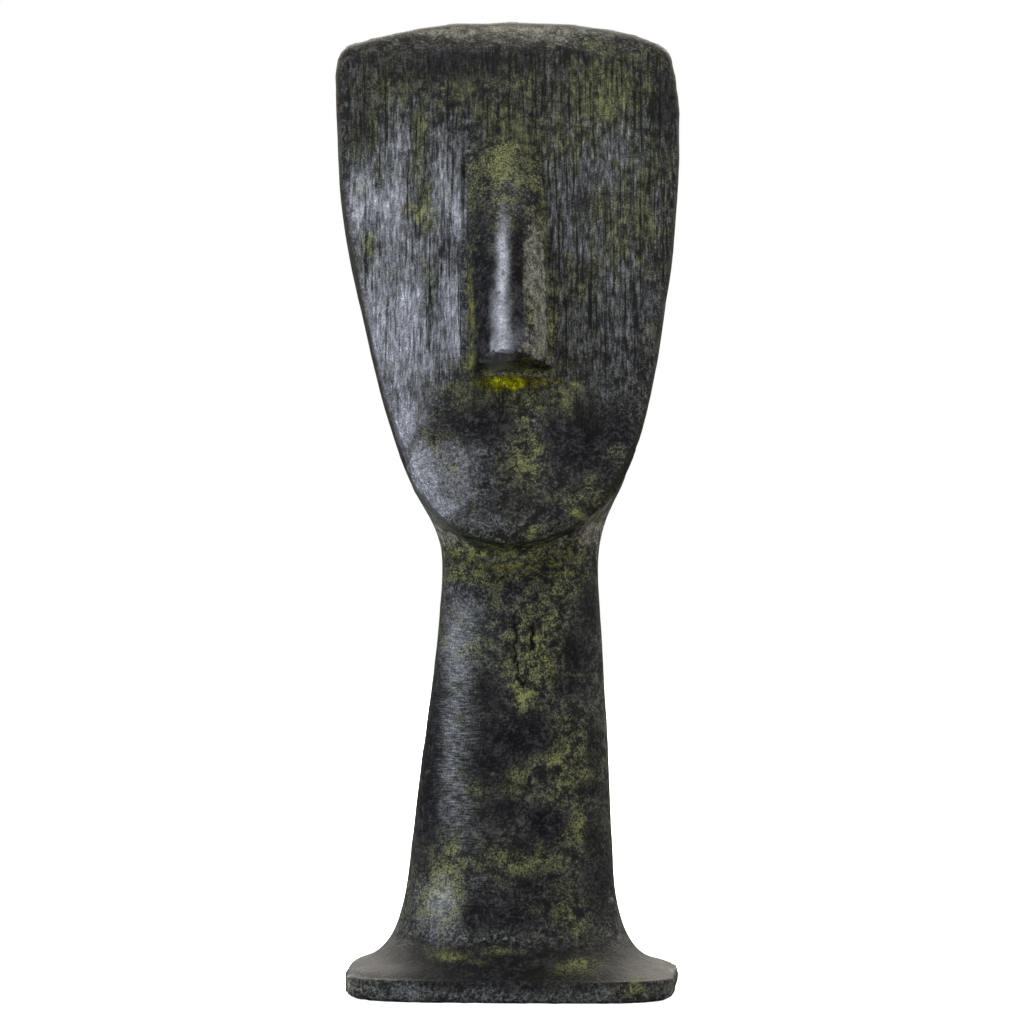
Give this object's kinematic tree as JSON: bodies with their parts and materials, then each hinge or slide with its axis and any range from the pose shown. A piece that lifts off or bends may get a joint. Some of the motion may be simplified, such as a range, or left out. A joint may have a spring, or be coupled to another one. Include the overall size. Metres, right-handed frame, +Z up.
{
  "type": "head sculpture",
  "caption": "Small cast bronze head with a leaning shield-shaped face and a long straight nose, on a tall neck that flares into a thin rounded foot plate.",
  "frame": {"origin": "middle of the underside of the foot plate, on the surface it stands on", "axes": "+Z up, -Y the way the face looks, +X to the right of someone facing the face"},
  "size_m": [0.0533, 0.0375, 0.1504],
  "materials": {
    "patinated_bronze": "dark green-black patina over bronze, satin"
  },
  "bodies": {
    "root": {"cycladic_head": "patinated_bronze"}
  },
  "joints": []
}
